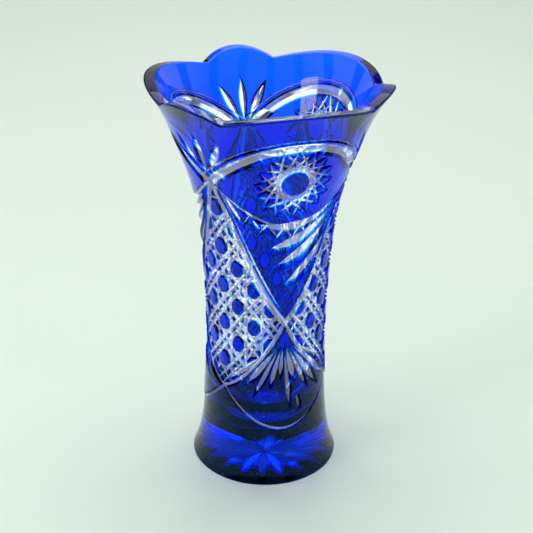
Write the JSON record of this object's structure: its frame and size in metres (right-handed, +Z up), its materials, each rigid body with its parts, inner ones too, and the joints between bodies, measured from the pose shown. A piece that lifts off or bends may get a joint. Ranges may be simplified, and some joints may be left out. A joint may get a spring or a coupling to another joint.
{
  "type": "cut crystal vase",
  "caption": "Flared cut crystal vase: cobalt casing cut through to clear crystal with stars, feathers, raised buttons and petals, scalloped rim and a star-cut foot.",
  "frame": {"origin": "middle of the underside, on the table", "axes": "+Z up through the mouth; lens panel 1 faces -Y; the pattern repeats every 120 degrees"},
  "size_m": [0.1398, 0.1452, 0.25],
  "materials": {
    "clear_crystal": "polished clear crystal glass",
    "cobalt_casing": "polished transparent cobalt blue glass"
  },
  "bodies": {
    "root": {"crystal_body": "clear_crystal", "rim_casing": "cobalt_casing", "foot_casing": "cobalt_casing", "lens_panel_1": "cobalt_casing", "lens_panel_2": "cobalt_casing", "lens_panel_3": "cobalt_casing", "star_button_1": "cobalt_casing", "star_button_2": "cobalt_casing", "star_button_3": "cobalt_casing", "v_panel_1": "cobalt_casing", "v_panel_2": "cobalt_casing", "v_panel_3": "cobalt_casing", "petal_panel_1": "cobalt_casing", "petal_panel_2": "cobalt_casing", "petal_panel_3": "cobalt_casing", "cane_buttons_1": "cobalt_casing", "cane_buttons_2": "cobalt_casing", "cane_buttons_3": "cobalt_casing"}
  },
  "joints": []
}
